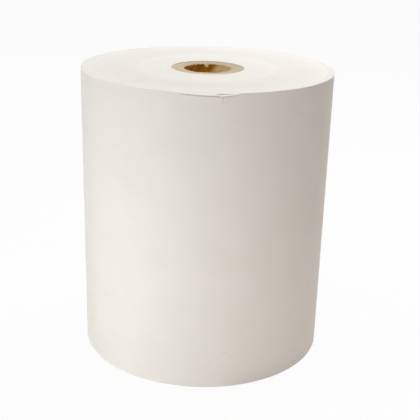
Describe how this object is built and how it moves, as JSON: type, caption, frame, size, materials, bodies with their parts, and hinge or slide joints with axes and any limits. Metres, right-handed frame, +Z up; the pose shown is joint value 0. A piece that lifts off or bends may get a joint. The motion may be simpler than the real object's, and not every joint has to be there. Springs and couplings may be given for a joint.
{
  "type": "receipt paper roll",
  "caption": "Upright roll of plain white thermal receipt paper on a hollow cardboard core, with one small bent lip on its top rim.",
  "frame": {"origin": "on the roll's axis, in the plane that the bottom end stands on", "axes": "+Z up along the roll's axis; -Y is the front, where the bent lip is; +X is to the right seen from the front"},
  "size_m": [0.0692, 0.0703, 0.0803],
  "materials": {
    "thermal_paper": "smooth matte, with fine cut edges on both ends",
    "core_cardboard": "matte wound chipboard"
  },
  "bodies": {
    "root": {"paper_roll": "thermal_paper", "core": "core_cardboard"}
  },
  "joints": []
}
